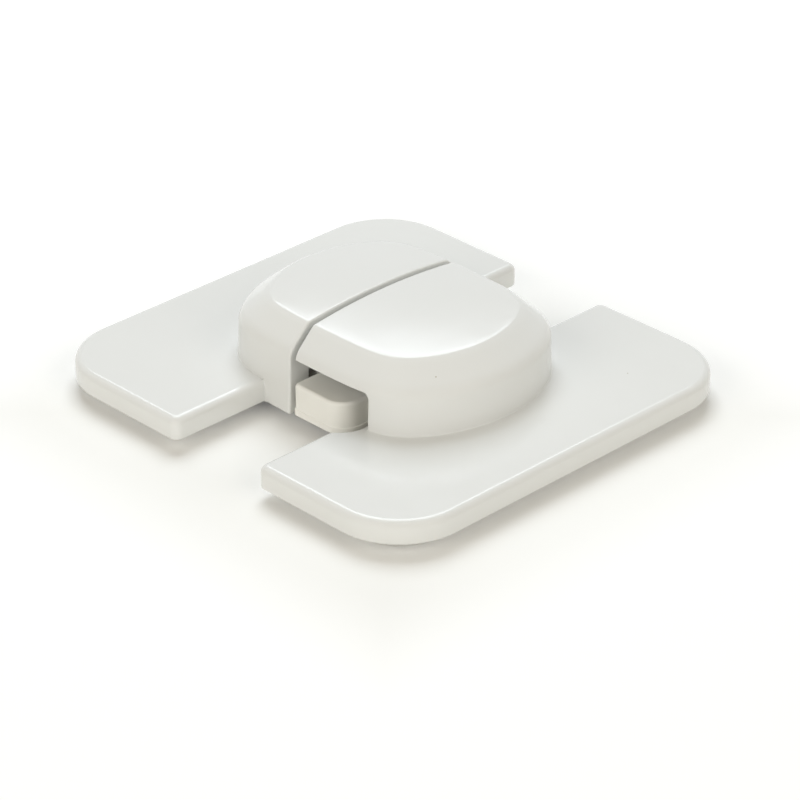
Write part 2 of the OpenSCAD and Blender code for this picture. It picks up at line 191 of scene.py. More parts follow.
# The fade keeps the glow weak near the lock, which paints shade on the floor there.
painted_shade_fade = tree.nodes.new("ShaderNodeMapRange")
painted_shade_fade.interpolation_type = "SMOOTHSTEP"
for label, value in PAINTED_SHADE_FADE.items():
    painted_shade_fade.inputs[label].default_value = value
tree.links.new(math_of(tree, "MAXIMUM", along, across), painted_shade_fade.inputs["Value"])
glow_with_painted_shade = math_of(tree, "MULTIPLY", background_rays(tree), painted_shade_fade.outputs["Result"])
tree.links.new(glow_with_painted_shade, glow.inputs["Strength"])
both = tree.nodes.new("ShaderNodeAddShader")
tree.links.new(sheet.outputs[0], both.inputs[0])
tree.links.new(glow.outputs[0], both.inputs[1])
tree.links.new(both.outputs[0], tree.nodes["Material Output"].inputs["Surface"])

bm = bmesh.new()
bmesh.ops.create_grid(bm, x_segments=4, y_segments=4, size=1.5)
floor = put_in_scene("floor", bpy.data.meshes.new("floor"))
bm.to_mesh(floor.data)
bm.free()
floor.data.materials.append(floor_with_painted_shade)
print("floor faces:", len(floor.data.polygons))

# %% [markdown]
# ## Finishes that several pieces share
# Moulded plastic is never one flat colour: the tone drifts a little over a hand's width, the gloss
# changes in patches, the skin has a very fine grain and a few dust specks sit in it. Each of these is a
# pattern on Object coordinates. They go into shader node groups, which are built once and then placed
# in each material with its own values.

# %% Helpers for shader groups
def new_group(name, inputs, outputs):
    """Empty shader group with named sockets, and its two end nodes."""
    tree = bpy.data.node_groups.new(name, "ShaderNodeTree")
    for label, kind, value in inputs:
        tree.interface.new_socket(label, in_out="INPUT", socket_type=kind).default_value = value
    for label, kind in outputs:
        tree.interface.new_socket(label, in_out="OUTPUT", socket_type=kind)
    return tree, tree.nodes.new("NodeGroupInput"), tree.nodes.new("NodeGroupOutput")


def pattern(tree, kind, scale, stretch=(1, 1, 1)):
    """Noise or cell texture on Object coordinates, stretched along the axes if asked."""
    place = tree.nodes.new("ShaderNodeTexCoord")
    turn = tree.nodes.new("ShaderNodeMapping")
    turn.inputs["Scale"].default_value = stretch
    texture = tree.nodes.new(kind)
    texture.inputs["Scale"].default_value = scale
    tree.links.new(place.outputs["Object"], turn.inputs["Vector"])
    tree.links.new(turn.outputs["Vector"], texture.inputs["Vector"])
    return texture


def spread(tree, value, low, high, span=(0.2, 0.8)):
    """A texture's value, spread from low to high; each end is a number or a socket."""
    node = tree.nodes.new("ShaderNodeMapRange")
    node.inputs["From Min"].default_value, node.inputs["From Max"].default_value = span
    tree.links.new(value, node.inputs["Value"])
    for end, label in ((low, "To Min"), (high, "To Max")):
        if isinstance(end, (int, float)):
            node.inputs[label].default_value = end
        else:
            tree.links.new(end, node.inputs[label])
    return node.outputs["Result"]


def two_tones(tree, factor, first, second):
    """One colour socket where the factor is 0, the other where it is 1."""
    mix = tree.nodes.new("ShaderNodeMix")
    mix.data_type = "RGBA"
    # Inputs 6 and 7 are this node's two colours, and output 2 is the mixed one.
    tree.links.new(factor, mix.inputs[0])
    tree.links.new(first, mix.inputs[6])
    tree.links.new(second, mix.inputs[7])
    return mix.outputs[2]


COLOR, NUMBER = "NodeSocketColor", "NodeSocketFloat"
print("helpers for groups are ready")

# %% [markdown]
# The moulded skin has three outputs. The tone drifts over about 20 mm, the gloss over about 5 mm, and
# the height is a mix of slow sink marks and a grain of about a fifth of a millimetre.

# %% Moulded skin
GRAIN_SHARE = 0.12

moulded_skin, given, out = new_group(
    "moulded_skin",
    [("Tone", COLOR, (0.8, 0.8, 0.78, 1)), ("Second tone", COLOR, (0.78, 0.78, 0.75, 1)),
     ("Glossy", NUMBER, 0.24), ("Satin", NUMBER, 0.34)],
    [("Color", COLOR), ("Roughness", NUMBER), ("Height", NUMBER)],
)
drift = pattern(moulded_skin, "ShaderNodeTexNoise", scale=50)
patches = pattern(moulded_skin, "ShaderNodeTexNoise", scale=190)
grain = pattern(moulded_skin, "ShaderNodeTexNoise", scale=4800)
sink = pattern(moulded_skin, "ShaderNodeTexNoise", scale=90)
grain.inputs["Detail"].default_value = 1
tone = two_tones(moulded_skin, spread(moulded_skin, drift.outputs["Fac"], 0, 1),
                 given.outputs["Tone"], given.outputs["Second tone"])
gloss = spread(moulded_skin, patches.outputs["Fac"], given.outputs["Glossy"], given.outputs["Satin"])
fine = math_of(moulded_skin, "MULTIPLY", grain.outputs["Fac"], GRAIN_SHARE)
slow = math_of(moulded_skin, "MULTIPLY", sink.outputs["Fac"], 1 - GRAIN_SHARE)
height = math_of(moulded_skin, "ADD", fine, slow)
moulded_skin.links.new(tone, out.inputs["Color"])
moulded_skin.links.new(gloss, out.inputs["Roughness"])
moulded_skin.links.new(height, out.inputs["Height"])
print("moulded skin:", len(moulded_skin.nodes), "nodes")

# %% [markdown]
# Dust specks are cells of a Voronoi texture. Only the middle of a cell is a speck, and only a few cells,
# picked by their random colour, have one. The mask then mixes in a grey-brown.

# %% Dust specks
RARE = 0.965

dust_specks, given, out = new_group(
    "dust_specks",
    [("Color", COLOR, (0.8, 0.8, 0.8, 1)), ("Speck", COLOR, (0.55, 0.52, 0.45, 1)), ("Size", NUMBER, 0.04)],
    [("Color", COLOR)],
)
cells = pattern(dust_specks, "ShaderNodeTexVoronoi", scale=320)
pick = dust_specks.nodes.new("ShaderNodeSeparateColor")
dust_specks.links.new(cells.outputs["Color"], pick.inputs["Color"])
near = math_of(dust_specks, "LESS_THAN", cells.outputs["Distance"], given.outputs["Size"])
few = math_of(dust_specks, "GREATER_THAN", pick.outputs["Red"], RARE)
mask = math_of(dust_specks, "MULTIPLY", near, few)
dust_specks.links.new(two_tones(dust_specks, mask, given.outputs["Color"], given.outputs["Speck"]),
                      out.inputs["Color"])
print("dust specks:", len(dust_specks.nodes), "nodes")

# %% [markdown]
# Drawn steel has fine streaks along the wire or pin, and foam has small open cells. Streaks are a noise
# squeezed across its grain; the cells are Voronoi again, this time as a height.

# %% Drawn steel and foam cells
drawn_steel, given, out = new_group(
    "drawn_steel",
    [("Bright", COLOR, (0.72, 0.72, 0.73, 1)), ("Dull", COLOR, (0.5, 0.5, 0.51, 1))],
    [("Color", COLOR), ("Roughness", NUMBER), ("Height", NUMBER)],
)
streaks = pattern(drawn_steel, "ShaderNodeTexNoise", scale=2600, stretch=(1, 1, 0.05))
blotch = pattern(drawn_steel, "ShaderNodeTexNoise", scale=700)
drawn_steel.links.new(two_tones(drawn_steel, spread(drawn_steel, streaks.outputs["Fac"], 0, 1),
                                given.outputs["Bright"], given.outputs["Dull"]), out.inputs["Color"])
drawn_steel.links.new(spread(drawn_steel, blotch.outputs["Fac"], 0.22, 0.42), out.inputs["Roughness"])
drawn_steel.links.new(streaks.outputs["Fac"], out.inputs["Height"])

foam_cells, given, out = new_group(
    "foam_cells",
    [("Skin", COLOR, (0.8, 0.8, 0.78, 1)), ("Pore", COLOR, (0.5, 0.49, 0.46, 1))],
    [("Color", COLOR), ("Height", NUMBER)],
)
pores = pattern(foam_cells, "ShaderNodeTexVoronoi", scale=2800)
pore = spread(foam_cells, pores.outputs["Distance"], 1, 0, (0.05, 0.5))
foam_cells.links.new(two_tones(foam_cells, pore, given.outputs["Skin"], given.outputs["Pore"]),
                     out.inputs["Color"])
foam_cells.links.new(pores.outputs["Distance"], out.inputs["Height"])
print("groups:", [g.name for g in bpy.data.node_groups])

# %% [markdown]
# ## Materials
# Every piece has a Principled BSDF of its own. What varies comes from the groups, and what is the same
# all over is set on the sockets. The covers are a cool glossy white, the levers a warmer ivory white,
# as the button in the photograph is, and the base plates a matte white. Part of the levers' ivory is
# painted light: their tone is brighter and warmer than the plastic's own, to lift the shade in the window
# round the button.

# %% Plastic, steel and foam
def finish(name, recipe, values, bump, depth, sockets, specks=False):
    """Material whose colour, gloss and bump come from a shared group."""
    material = bpy.data.materials.new(name)
    material.use_nodes = True
    tree = material.node_tree
    surface = tree.nodes["Principled BSDF"]
    skin = tree.nodes.new("ShaderNodeGroup")
    skin.node_tree = recipe
    for label, value in values.items():
        skin.inputs[label].default_value = value
    color = skin.outputs["Color"]
    if specks:
        dust = tree.nodes.new("ShaderNodeGroup")
        dust.node_tree = dust_specks
        tree.links.new(color, dust.inputs["Color"])
        color = dust.outputs["Color"]
    relief = tree.nodes.new("ShaderNodeBump")
    relief.inputs["Strength"].default_value = bump
    relief.inputs["Distance"].default_value = depth
    tree.links.new(skin.outputs["Height"], relief.inputs["Height"])
    tree.links.new(relief.outputs["Normal"], surface.inputs["Normal"])
    tree.links.new(color, surface.inputs["Base Color"])
    if "Roughness" in skin.outputs:
        tree.links.new(skin.outputs["Roughness"], surface.inputs["Roughness"])
    for label, value in sockets.items():
        surface.inputs[label].default_value = value
    return material


cover_white = finish(
    "cover_gloss_white", moulded_skin,
    {"Tone": (0.825, 0.832, 0.822, 1), "Second tone": (0.818, 0.825, 0.813, 1), "Glossy": 0.15, "Satin": 0.2},
    bump=0.12, depth=0.00012, sockets={"IOR": 1.5}, specks=True)
# Lever tone: the plastic's ivory, made brighter and warmer as painted light against the shade in the button's
# window.
lever_white_and_painted_light = finish(
    "lever_ivory_and_painted_light", moulded_skin,
    {"Tone": (0.95, 0.94, 0.9, 1), "Second tone": (0.94, 0.928, 0.88, 1), "Glossy": 0.16, "Satin": 0.22},
    bump=0.12, depth=0.00012, sockets={"IOR": 1.5})
base_white = finish(
    "base_matt_white", moulded_skin,
    {"Tone": (0.78, 0.78, 0.75, 1), "Second tone": (0.75, 0.75, 0.715, 1), "Glossy": 0.5, "Satin": 0.62},
    bump=0.3, depth=0.00012, sockets={"IOR": 1.5})
pin_steel = finish("pin_steel", drawn_steel, {}, bump=0.15, depth=0.00003, sockets={"Metallic": 1.0})
spring_steel = finish(
    "spring_wire", drawn_steel, {"Bright": (0.62, 0.62, 0.63, 1), "Dull": (0.42, 0.42, 0.43, 1)},
    bump=0.1, depth=0.00003, sockets={"Metallic": 1.0})
pad_foam = finish("pad_foam", foam_cells, {}, bump=0.6, depth=0.0002, sockets={"Roughness": 0.9})
print("materials:", [m.name for m in bpy.data.materials])

# %% [markdown]
# ## Working in millimetres
# The object is small, so the meshes are drawn in millimetres and shrunk to metres at the end. Three
# helpers do most of the work. One makes a plate with its own radius at each upright edge, one joins or
# cuts two solids with an exact Boolean, and one cleans a finished mesh, shades it and hangs it on the
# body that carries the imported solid. The sizes that several pieces share are named first, and short
# helpers for what the meshes need again and again.

# %% Sizes that several pieces share
WALL = 2.0
WING_END, WING_SIDE, WING_Z = 42.5, 40.0, (2.0, 6.0)
WING_CORNER, SMALL_CORNER = 12.5, 1.6
# Inner edges of the wings, then the seam planes, which are measured from the dome's middle towards each half.
LATCH_WING, STRIKE_WING = 10.4, -9.1
LATCH_SEAM, STRIKE_SEAM = -2.45, 3.55
PIVOT, CATCH = (17.5, 12.6), (-6.85, 16.6)
LATCH_SCREWS = [(12.5, -6.5), (12.5, 6.5), (21.7, 0)]
STRIKE_SCREWS = [(-19, -7.5), (-19, 7.5), (-8.55, 0)]
# Cutting tools start below every cut, end above it and reach past its sides.
BELOW, ABOVE, PAST = 1.0, 20.0, 1.0
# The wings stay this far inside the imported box, so that rounding can't carry them out of it.
HAIR = 0.001
print("wings span", 2 * WING_END, "by", 2 * WING_SIDE, "mm")

# %% Short helpers for meshes
NEAR_ZERO = 1e-4


def same(length, other):
    """Whether two lengths agree within rounding."""
    return abs(length - other) < NEAR_ZERO


def verts_of(geom):
    """The points in what a bmesh operator returns."""
    return [g for g in geom if isinstance(g, bmesh.types.BMVert)]


def edges_of(geom):
    """The edges in what a bmesh operator returns."""
    return [g for g in geom if isinstance(g, bmesh.types.BMEdge)]


def raise_faces(bm, faces, height):
    """Extrude faces straight up."""
    raised = bmesh.ops.extrude_face_region(bm, geom=faces)["geom"]
    bmesh.ops.translate(bm, vec=(0, 0, height), verts=verts_of(raised))


def round_off(bm, geom, radius, segments, kind="EDGES"):
    """Round edges, or with VERTICES the corners of a flat face."""
    bmesh.ops.bevel(bm, geom=geom, offset=radius, affect=kind, segments=segments, profile=0.5, material=-1)


def score(bm, level):
    """Cut a loop of edges round a mesh at one height."""
    everything = bm.verts[:] + bm.edges[:] + bm.faces[:]
    bmesh.ops.bisect_plane(bm, geom=everything, plane_co=(0, 0, level), plane_no=(0, 0, 1))


print("lengths within", NEAR_ZERO, "mm count as the same")

# %% Plate with rounded corners
def slab(x, y, z, corners, top=0.0, foot=0.0, steps=14):
    """Plate over ranges in x, y and z, with a radius for each corner (side x, side y) and for both rims."""
    bm = bmesh.new()
    bmesh.ops.create_grid(bm, x_segments=1, y_segments=1, size=0.5)
    bmesh.ops.scale(bm, vec=(x[1] - x[0], y[1] - y[0], 1), verts=bm.verts)
    bmesh.ops.translate(bm, vec=((x[0] + x[1]) / 2, (y[0] + y[1]) / 2, z[0]), verts=bm.verts)
    for (side_x, side_y), radius in corners.items():
        corner = max(bm.verts, key=lambda v: side_x * v.co.x + side_y * v.co.y)
        round_off(bm, [corner], radius, steps, "VERTICES")
    raise_faces(bm, bm.faces[:], z[1] - z[0])
    for level, radius, segments in ((z[1], top, 8), (z[0], foot, 3)):
        rim = [e for e in bm.edges if all(same(v.co.z, level) for v in e.verts)]
        if radius:
            round_off(bm, rim, radius, segments)
    bmesh.ops.recalc_face_normals(bm, faces=bm.faces)
    return bm


def corners_of(side, large, small):
    """Radii for a plate with its large corners on one side in X."""
    return {(-side, -1): small, (side, -1): large, (side, 1): large, (-side, 1): small}


def on_both_sides(bm):
    """Add the mirror image across the lock's middle plane."""
    bmesh.ops.mirror(bm, geom=bm.verts[:] + bm.edges[:] + bm.faces[:], axis="Y", merge_dist=0)
    bmesh.ops.recalc_face_normals(bm, faces=bm.faces)
    return bm


test = slab((0, 4), (0, 3), (0, 1), {(1, 1): 1})
print("a test plate has", len(test.faces), "faces")
test.free()

# %% Joining, cutting and finishing
SAME_POINT, SHARP = 0.004, math.radians(38)


def solid(bm, name="tool"):
    """Object from a bmesh that is no longer needed."""
    obj = put_in_scene(name, bpy.data.meshes.new(name))
    bm.to_mesh(obj.data)
    bm.free()
    return obj


def carve(obj, operation, bm):
    """Exact Boolean of an object with a tool, applied at once."""
    tool = solid(bm)
    step = obj.modifiers.new("carve", "BOOLEAN")
    step.operation, step.solver, step.object = operation, "EXACT", tool
    done = bpy.data.meshes.new_from_object(obj.evaluated_get(bpy.context.evaluated_depsgraph_get()))
    obj.modifiers.clear()
    obj.data = done
    bpy.data.objects.remove(tool)
    return obj


def put_in_order(bm):
    """Sort a mesh by place, because an exact Boolean gives the same points in another order each run."""
    points = {v: turn for turn, v in enumerate(sorted(bm.verts, key=lambda v: v.co[:]))}
    orders = [(bm.verts, points)]
    for parts in (bm.edges, bm.faces):
        by_points = sorted(parts, key=lambda part: sorted(points[v] for v in part.verts))
        orders.append((parts, {part: turn for turn, part in enumerate(by_points)}))
    for parts, order in orders:
        parts.sort(key=order.get)


def dress(obj, material, body, nodes, edge=0.0):
    """Clean a finished mesh, shrink it to metres, shade it and hang it on its body."""
    bm = bmesh.new()
    bm.from_mesh(obj.data)
    put_in_order(bm)
    bmesh.ops.remove_doubles(bm, verts=bm.verts, dist=SAME_POINT)
    bmesh.ops.dissolve_degenerate(bm, edges=bm.edges, dist=SAME_POINT)
    bmesh.ops.scale(bm, vec=(0.001, 0.001, 0.001), verts=bm.verts)
    for face in bm.faces:
        face.smooth = True
    bm.to_mesh(obj.data)
    bm.free()
    obj.data.set_sharp_from_angle(angle=SHARP)
    if edge:
        soften = obj.modifiers.new("soft_edges", "BEVEL")
        soften.width, soften.segments, soften.profile = edge / 1000, 2, 0.5
        soften.limit_method, soften.angle_limit = "ANGLE", SHARP
        soften.use_clamp_overlap = False
    even = obj.modifiers.new("even_normals", "WEIGHTED_NORMAL")
    even.keep_sharp = True
    obj.data.materials.clear()
    obj.data.materials.append(material)
    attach(obj, body)
    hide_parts(*nodes)
    print(obj.name, "faces:", len(obj.data.polygons), "rides on", body)
    return obj


print("edges sharper than", round(math.degrees(SHARP)), "degrees stay crisp")

# %% [markdown]
# ## The dome
# Each half of the dome is a moulded shell. From above its outline is a circle with two flattened sides,
# upright for the wall, then leaning in, then a gently crowned top. A circle could be spun into a dome,
# but not one with flat sides. So a chain of points is spun for the first ring, laid on the outline, and
# its edges are extruded from ring to ring. The chain ends on the seam plane, so no cut is needed there.

# %% Outline of the dome
DOME_X = 0.6
CORNER_POWER = 12
SAME_TURN = 1e-5


def reach(angle, radius, half_width):
    """Distance of the outline from the dome's middle, in one direction."""
    flat = abs(math.sin(angle)) / half_width
    return (radius ** -CORNER_POWER + flat ** CORNER_POWER) ** (-1 / CORNER_POWER)


def turn_to_seam(ring, plane):
    """Angle at which a ring of (radius, half width, height) meets the seam plane, by halving."""
    low, high = 0.0, math.pi
    for _ in range(60):
        middle = (low + high) / 2
        if reach(middle, ring[0], ring[1]) * math.cos(middle) > plane:
            low = middle
        else:
            high = middle
    return low


def lay_on_ring(verts, turn_before, ring, plane):
    """Move a chain of points to a ring, keeping each point's share of the turn."""
    turn = turn_to_seam(ring, plane)
    for v in verts:
        a = math.atan2(v.co.y, v.co.x) * turn / turn_before
        out = reach(a, ring[0], ring[1])
        v.co = (plane if abs(a) > turn - SAME_TURN else out * math.cos(a), out * math.sin(a), ring[2])
    return turn


FOOT, TOP = (26.7, 20.7, 2.0), (21.6, 16.5, 17.3)
foot_turn = turn_to_seam(FOOT, LATCH_SEAM)
print("half turn of the foot ring:", round(math.degrees(foot_turn), 1), "degrees")

# %% Half of a skinned form
def edges_on_plane(bm, plane):
    """Edges that lie on a plane across X."""
    return [e for e in bm.edges if all(same(v.co.x, plane) for v in e.verts)]


def half_form(plane, rings, steps):
    """Closed solid on the +X side of a plane across the dome, skinned through rings."""
    bm = bmesh.new()
    first = bmesh.ops.create_vert(bm, co=(math.cos(1), -math.sin(1), 0))["vert"]
    bmesh.ops.spin(bm, geom=first, cent=(0, 0, 0), axis=(0, 0, 1), angle=2, steps=steps)
    turn = lay_on_ring(bm.verts, 1, rings[0], plane)
    foot = chain = bm.edges[:]
    for ring in rings[1:]:
        grown = bmesh.ops.extrude_edge_only(bm, edges=chain)["geom"]
        chain = edges_of(grown)
        turn = lay_on_ring(verts_of(grown), turn, ring, plane)
    for loop, ring in ((foot, rings[0]), (chain, rings[-1])):
        ends = [v for v in bm.verts if same(v.co.x, plane) and same(v.co.z, ring[2])]
        closing = bmesh.ops.contextual_create(bm, geom=ends)["edges"]
        bmesh.ops.contextual_create(bm, geom=loop + closing)
    bmesh.ops.contextual_create(bm, geom=edges_on_plane(bm, plane))
    bmesh.ops.recalc_face_normals(bm, faces=bm.faces)
    return bm


def blend_of(a, b, t):
    """Point at a share t of the way from a to b."""
    return tuple(p + (q - p) * t for p, q in zip(a, b))


def bend(a, b, c, t):
    """Point on the soft corner from a by b to c."""
    return blend_of(blend_of(a, b, t), blend_of(b, c, t), t)


SHOULDER = (26.3, 20.37, 13.5)
CROWN = (20.99, 16.0, 17.6)
CROWN_RISE, INNER_SHARE = 1.05, 0.97
shoulder_low, shoulder_high = blend_of(SHOULDER, FOOT, 0.12), blend_of(SHOULDER, TOP, 0.3)
brow_low = blend_of(TOP, SHOULDER, 0.14)
dome_rings = [FOOT, blend_of(FOOT, shoulder_low, 0.5)]
dome_rings += [bend(shoulder_low, SHOULDER, shoulder_high, i / 8) for i in range(9)]
dome_rings += [blend_of(shoulder_high, brow_low, 0.5)]
dome_rings += [bend(brow_low, TOP, CROWN, i / 6) for i in range(7)]
inner_height = CROWN[2] + CROWN_RISE * (1 - INNER_SHARE ** 2)
dome_rings += [(CROWN[0] * INNER_SHARE, CROWN[1] * INNER_SHARE, inner_height)]
print("rings of the dome:", len(dome_rings))

# %% [markdown]
# The top starts as one flat face. Cutting it with planes along and across the seam gives a grid whose
# lines run straight to the seam. Its middle is raised most and its rim not at all, by the square of each
# point's share of the way out. A few rounds of smoothing take out the ridge where the flat sides end.

# %% Crowned half dome
GRID, GRID_SNAP, SEAM_ROUND = 1.6, 0.3, 0.38
SMOOTH_ROUNDS = 6


def half_dome(plane, steps):
    """Half dome on the +X side of a plane, with a crowned top and a soft seam edge."""
    bm = half_form(plane, dome_rings, steps)
    top_z = dome_rings[-1][2]

    def top_faces():
        """Faces of the top while it is flat."""
        return [f for f in bm.faces if all(same(v.co.z, top_z) for v in f.verts)]

    cuts = [(Vector((plane + GRID * i, 0, top_z)), Vector((1, 0, 0))) for i in range(1, 15)]
    cuts += [(Vector((0, GRID * i, top_z)), Vector((0, 1, 0))) for i in range(-9, 10)]
    for place, across in cuts:
        faces = top_faces()
        around = list(dict.fromkeys(g for f in faces for g in list(f.verts) + list(f.edges)))
        bmesh.ops.bisect_plane(bm, geom=faces + around, dist=GRID_SNAP, plane_co=place, plane_no=across)
    crown = list(dict.fromkeys(v for f in top_faces() for v in f.verts))
    rim = {v for v in crown if any(not same(w.co.z, top_z) for e in v.link_edges for w in e.verts)}
    for v in crown:
        share = math.hypot(v.co.x, v.co.y) / reach(math.atan2(v.co.y, v.co.x), CROWN[0], CROWN[1])
        v.co.z = CROWN[2] + CROWN_RISE * (1 - share ** 2)
    inner = [v for v in crown if v not in rim and not same(v.co.x, plane)]
    for _ in range(SMOOTH_ROUNDS):
        bmesh.ops.smooth_vert(bm, verts=inner, factor=0.5, use_axis_z=True)
    seam = [e for e in edges_on_plane(bm, plane) if any(v.co.z > FOOT[2] + NEAR_ZERO for v in e.verts)]
    round_off(bm, seam, SEAM_ROUND, 4)
    bmesh.ops.recalc_face_normals(bm, faces=bm.faces)
    return bm


def to_dome_place(bm, side):
    """Turn a half form to its side of the seam and move it to the dome's place."""
    if side < 0:
        bmesh.ops.scale(bm, vec=(-1, 1, 1), verts=bm.verts)
        bmesh.ops.recalc_face_normals(bm, faces=bm.faces)
    bmesh.ops.translate(bm, vec=(DOME_X, 0, 0), verts=bm.verts)
    return bm


test = half_dome(LATCH_SEAM, 120)
print("half dome: faces", len(test.faces), "highest point", round(max(v.co.z for v in test.verts), 3))
test.free()

# %% [markdown]
# ## The hollow
# A moulding has even walls, so the inside follows the outside 2 mm further in, with a flat ceiling. Round
# bosses stand in it and take the screws and pins. The hollow is made as a solid, the bosses are cut out
# of it, and what is left is cut out of the cover.

# %% Hollow of one half
INSIDE = [(24.7, 18.7, BELOW), (24.3, 18.3, 12.5), (20.6, 15.5, 15.3)]
BASE_TOP, SCREW_BOSS = 3.6, 2.6


def rod(x, y, z, radius, segments=40):
    """Upright round bar."""
    bm = bmesh.new()
    bmesh.ops.create_cone(bm, cap_ends=True, segments=segments, radius1=radius, radius2=radius,
                          depth=z[1] - z[0])
    bmesh.ops.translate(bm, vec=(x, y, (z[0] + z[1]) / 2), verts=bm.verts)
    return bm


def block(x, y, z):
    """Plain block, used only as a cutting tool."""
    return slab(x, y, z, {})


def mesh_of(obj):
    """Mesh of a tool object, which is then removed."""
    bm = bmesh.new()
    bm.from_mesh(obj.data)
    bpy.data.objects.remove(obj)
    return bm


def hollow_of(plane, side, bosses):
    """Inside of one half, with the bosses left standing."""
    inside = solid(to_dome_place(half_form(plane, INSIDE, 72), side), "hollow")
    for x, y, z, radius in bosses:
        carve(inside, "DIFFERENCE", rod(x, y, (z, ABOVE), radius))
    return mesh_of(inside)


def bosses_at(screws, pin, pin_foot, pin_boss):
    """Bosses over the screws and over the two pins, as (x, y, foot, radius)."""
    over_screws = [(x, y, BASE_TOP, SCREW_BOSS) for x, y in screws]
    return over_screws + [(pin[0], side * pin[1], pin_foot, pin_boss) for side in (-1, 1)]


latch_bosses = bosses_at(LATCH_SCREWS, PIVOT, pin_foot=8.5, pin_boss=2.8)
strike_bosses = bosses_at(STRIKE_SCREWS, CATCH, pin_foot=8.8, pin_boss=2.0)
print("bosses:", len(latch_bosses), "in the latch half,", len(strike_bosses), "in the strike half")

# %% [markdown]
# ## The latch cover
# This is the right half in the photograph: a wing plate and half the dome in one moulding. A window in
# each side wall lets the button through, and beside it a round scoop in the wing makes room for a
# fingertip. The wing's top edge is well rounded, which is where the long thin highlight runs.

# %% Tool for the button windows
WINDOW_X, WINDOW_Y = (-2.85, 0.6, 14.75), (9.51, 17.9, 21.7)
WINDOW_TOP, WINDOW_ROUND = 12.5, 1.2


def plate_from(points, z):
    """Upright prism over corner points, taken in the order given."""
    bm = bmesh.new()
    corners = [bmesh.ops.create_vert(bm, co=(x, y, z[0]))["vert"][0] for x, y in points]
    sides = []
    for a, b in zip(corners, corners[1:] + corners[:1]):
        sides += bmesh.ops.contextual_create(bm, geom=[a, b])["edges"]
    bmesh.ops.contextual_create(bm, geom=sides)
    raise_faces(bm, bm.faces[:], z[1] - z[0])
    bmesh.ops.recalc_face_normals(bm, faces=bm.faces)
    return bm


def window_tool():
    """Opening in the seam wall and the side wall, with a round upper corner, on both sides."""
    start, bend_x, end = WINDOW_X
    inner, bend_y, outer = WINDOW_Y
    plan = [(start, inner), (bend_x, inner), (bend_x, bend_y), (end, bend_y), (end, outer), (start, outer)]
    bm = plate_from(plan, (BELOW, WINDOW_TOP))
    corner = [e for e in edges_on_plane(bm, end) if all(same(v.co.z, WINDOW_TOP) for v in e.verts)]
    round_off(bm, corner, WINDOW_ROUND, 6)
    return on_both_sides(bm)


test = window_tool()
print("window tool: faces", len(test.faces))
test.free()

# %% Latch cover
SCOOP_X, SCOOP_Y, SCOOP_RADIUS = 8.05, 19.5, 5.7


def wing(inner, side):
    """Wing plate from its inner edge to the lock's end on one side of the seam."""
    x = sorted((inner, side * (WING_END - HAIR)))
    y = (HAIR - WING_SIDE, WING_SIDE - HAIR)
    return slab(x, y, WING_Z, corners_of(side, WING_CORNER, SMALL_CORNER), top=1.3, foot=0.25)


latch_shell = solid(wing(LATCH_WING, 1), "latch_shell")
half = solid(to_dome_place(half_dome(LATCH_SEAM, 120), 1), "half")
carve(half, "DIFFERENCE", window_tool())
carve(latch_shell, "UNION", mesh_of(half))
carve(latch_shell, "DIFFERENCE", hollow_of(LATCH_SEAM + WALL, 1, latch_bosses))
scoop = rod(SCOOP_X, SCOOP_Y, (BELOW, WING_Z[1] + PAST), SCOOP_RADIUS, 96)
carve(latch_shell, "DIFFERENCE", on_both_sides(scoop))
dress(latch_shell, cover_white, "latch", ["latch_cover"], edge=0.18)

# %% [markdown]
# ## The strike cover
# The left half is the same form turned round. Its seam wall has two low slots that the hooks pass
# through, and there is no window.

# %% Strike cover
SLOT_X, SLOT_Y, SLOT_TOP = (-5.95, -1.95), (8.65, 16.1), 8.8

strike_shell = solid(wing(STRIKE_WING, -1), "strike_shell")
carve(strike_shell, "UNION", to_dome_place(half_dome(STRIKE_SEAM, 104), -1))
carve(strike_shell, "DIFFERENCE", hollow_of(STRIKE_SEAM + WALL, -1, strike_bosses))
carve(strike_shell, "DIFFERENCE", on_both_sides(block(SLOT_X, SLOT_Y, (BELOW, SLOT_TOP))))
dress(strike_shell, cover_white, "strike", ["strike_cover"], edge=0.18)

# %% [markdown]
# ## The button levers
# Button, bar and hook are one moulding that turns on a pin. The button is a small block with a soft upper
# edge, one large round corner where the fingertip rolls off, and a fine step low down where the two
# halves of the mould met. The front lever is the rear one mirrored.

# %% Lever
BAR_Y, LEVER_Z = (11.5, 13.7), (3.9, 8.2)
HOOK_TIP, HOOK_RAMP, HOOK_THROAT, HOOK_OUT = -11.75, -9.15, -8.15, 15.3
BUTTON_X, BUTTON_Y, BUTTON_Z = (-2.25, 9.75), (11.5, 20.6), (2.4, 8.2)
BUTTON_MIDDLE, BUTTON_ROUND, BUTTON_EDGE, BUTTON_SKIN = (3.75, 15, 0), 4.0, 0.9, 1.5
PARTING, ABOVE_PARTING = (3.55, 3.65), (0.976, 0.974, 1)
KNUCKLE, PIN_HOLE = 3.0, 1.3


